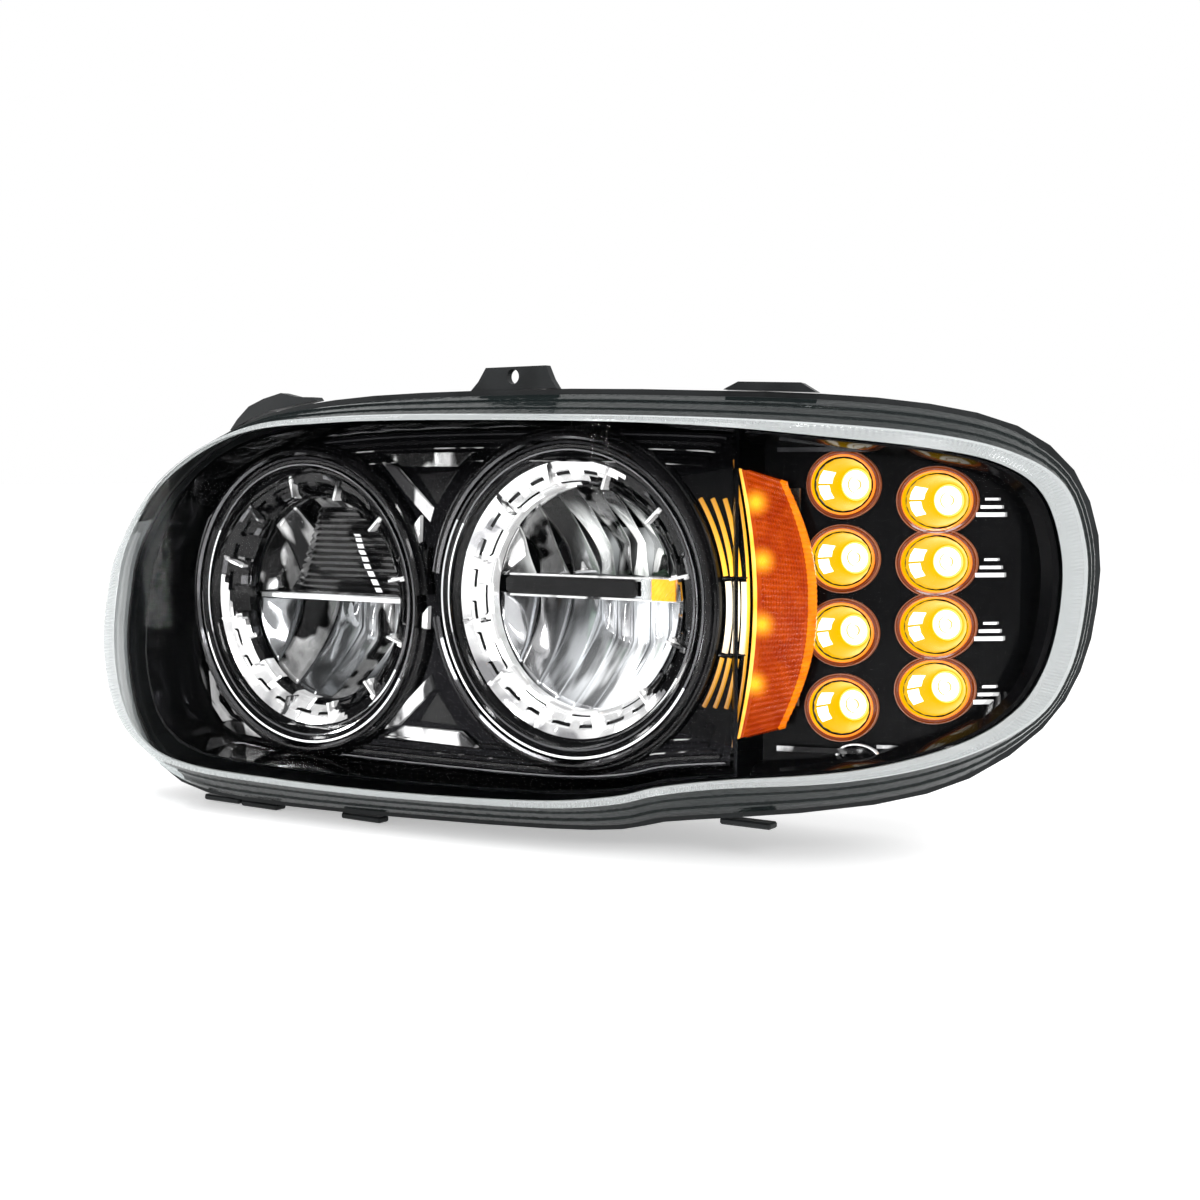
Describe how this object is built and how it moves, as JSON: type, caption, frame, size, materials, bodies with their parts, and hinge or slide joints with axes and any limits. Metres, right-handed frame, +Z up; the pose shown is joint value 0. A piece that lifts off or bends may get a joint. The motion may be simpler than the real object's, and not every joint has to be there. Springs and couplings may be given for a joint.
{
  "type": "headlight assembly",
  "caption": "Wraparound truck headlight for the driver side: two round LED beams on a tilting carrier, amber turn signal and side marker behind one clear lens.",
  "frame": {"origin": "on the housing's flat rear face, midway between the two beams and level with the low beam's axis", "axes": "+X outboard towards the wraparound corner, -Y forward along the beams, +Z up"},
  "size_m": [0.676, 0.23, 0.2961],
  "materials": {
    "clear_lens": "clear polycarbonate, gloss",
    "seal_rubber": "matt",
    "housing_black": "fine grain",
    "dark_chrome": "smoked mirror",
    "bright_chrome": "mirror",
    "gloss_black": "gloss",
    "amber_lens": "prism texture",
    "amber_lamp": "lit amber",
    "board_green": "solder mask",
    "cast_aluminium": "as cast",
    "carrier_black": "glass-filled",
    "plated_steel": "zinc plated",
    "natural_nylon": "satin",
    "cable_black": "satin"
  },
  "bodies": {
    "housing": {"outer_lens": "clear_lens", "lens_seal": "seal_rubber", "rear_housing": "housing_black", "main_bezel": "dark_chrome", "high_beam_ring": "dark_chrome", "low_beam_ring": "bright_chrome", "pivot_pin_inboard": "plated_steel", "pivot_pin_outboard": "plated_steel", "pivot_bracket": "plated_steel", "adjuster_bush": "natural_nylon", "driver_module": "cast_aluminium", "connector_inlet": "housing_black", "vent_cap": "housing_black", "turn_bezel": "dark_chrome", "turn_board_inner": "board_green", "turn_board_outer": "board_green", "reflex_reflector": "amber_lens", "marker_board": "board_green", "top_mount_tab": "housing_black", "top_clip_block": "housing_black", "inboard_bracket": "housing_black", "supply_lead": "cable_black", "beam_lead": "cable_black", "turn_lead": "cable_black", "turn_lens_1": "amber_lamp", "turn_lens_2": "amber_lamp", "turn_lens_3": "amber_lamp", "turn_lens_4": "amber_lamp", "turn_lens_5": "amber_lamp", "turn_lens_6": "amber_lamp", "turn_lens_7": "amber_lamp", "turn_lens_8": "amber_lamp", "lower_tab_1": "housing_black", "lower_tab_2": "housing_black", "lower_tab_3": "housing_black", "lower_tab_4": "housing_black", "mounting_stud_1": "plated_steel", "mounting_stud_2": "plated_steel", "mounting_stud_3": "plated_steel"},
    "carrier": {"aim_carrier": "carrier_black", "high_beam_reflector_upper": "dark_chrome", "high_beam_reflector_lower": "bright_chrome", "high_beam_divider": "bright_chrome", "high_beam_board": "board_green", "high_beam_heat_sink": "cast_aluminium", "low_beam_reflector_upper": "bright_chrome", "low_beam_reflector_lower": "bright_chrome", "low_beam_divider": "gloss_black", "low_beam_board": "board_green", "low_beam_heat_sink": "cast_aluminium", "position_light_window": "amber_lens"},
    "adjuster": {"adjuster_screw": "plated_steel", "adjuster_clip": "plated_steel"},
    "nut": {"adjuster_nut": "natural_nylon"}
  },
  "joints": [
    {"name": "aim_tilt", "type": "hinge", "parent": "housing", "child": "carrier", "pos_m": [0, -0.0985, 0], "axis": [1, 0, 0], "range_deg": [-4, 4]},
    {"name": "nut_slide", "type": "slide", "parent": "housing", "child": "nut", "axis": [0, 1, 0], "range_m": [-0.0066, 0.0066]},
    {"name": "screw_turn", "type": "hinge", "parent": "housing", "child": "adjuster", "pos_m": [0, 0, -0.088], "axis": [0, 1, 0], "range_deg": [-1180, 1180]}
  ],
  "couplings": [
    {"joint": "nut_slide", "follows": "aim_tilt", "m_per_rad": 0.088},
    {"joint": "screw_turn", "follows": "aim_tilt", "ratio": -276.46}
  ]
}
